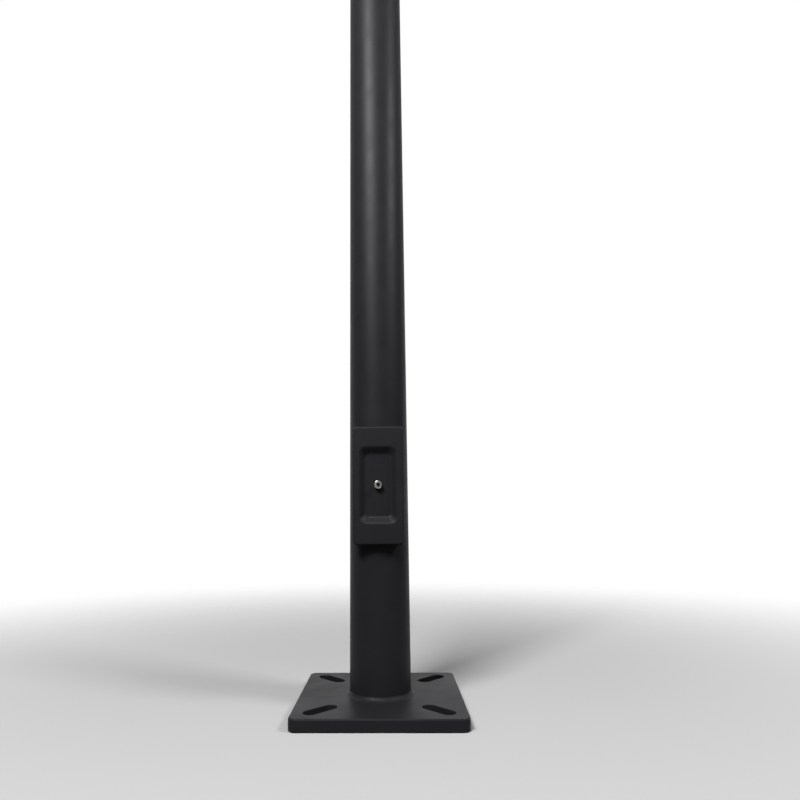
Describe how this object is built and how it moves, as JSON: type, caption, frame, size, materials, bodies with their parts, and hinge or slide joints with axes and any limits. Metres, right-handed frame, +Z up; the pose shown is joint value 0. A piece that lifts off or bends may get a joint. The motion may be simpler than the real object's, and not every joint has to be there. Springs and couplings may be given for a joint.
{
  "type": "straight round steel light pole",
  "caption": "Straight round steel light pole on a square slotted anchor plate, with a covered handhole near the foot and a pipe tenon on top for a lamp head.",
  "frame": {"origin": "centre of the base plate's underside, where the pole stands on its foundation", "axes": "+Z up the pole's axis, -Y out through the handhole, +X to the right as one faces the handhole"},
  "size_m": [0.2666, 0.2666, 7.7311],
  "materials": {
    "black_coat": "satin black powder coat",
    "stainless": "bright stainless steel",
    "zinc_plate": "dull zinc plate",
    "bronze": "plain silicon bronze"
  },
  "bodies": {
    "root": {"base_plate": "black_coat", "base_weld": "black_coat", "base_root_weld": "black_coat", "shaft": "black_coat", "handhole_frame": "black_coat", "frame_weld": "black_coat", "handhole_cover": "black_coat", "cover_screw": "stainless", "clamp_bar": "zinc_plate", "clamp_nut": "zinc_plate", "ground_stud": "bronze", "ground_washer": "bronze", "ground_nut": "bronze", "top_plate": "black_coat", "top_plate_weld": "black_coat", "tenon": "black_coat"}
  },
  "joints": []
}
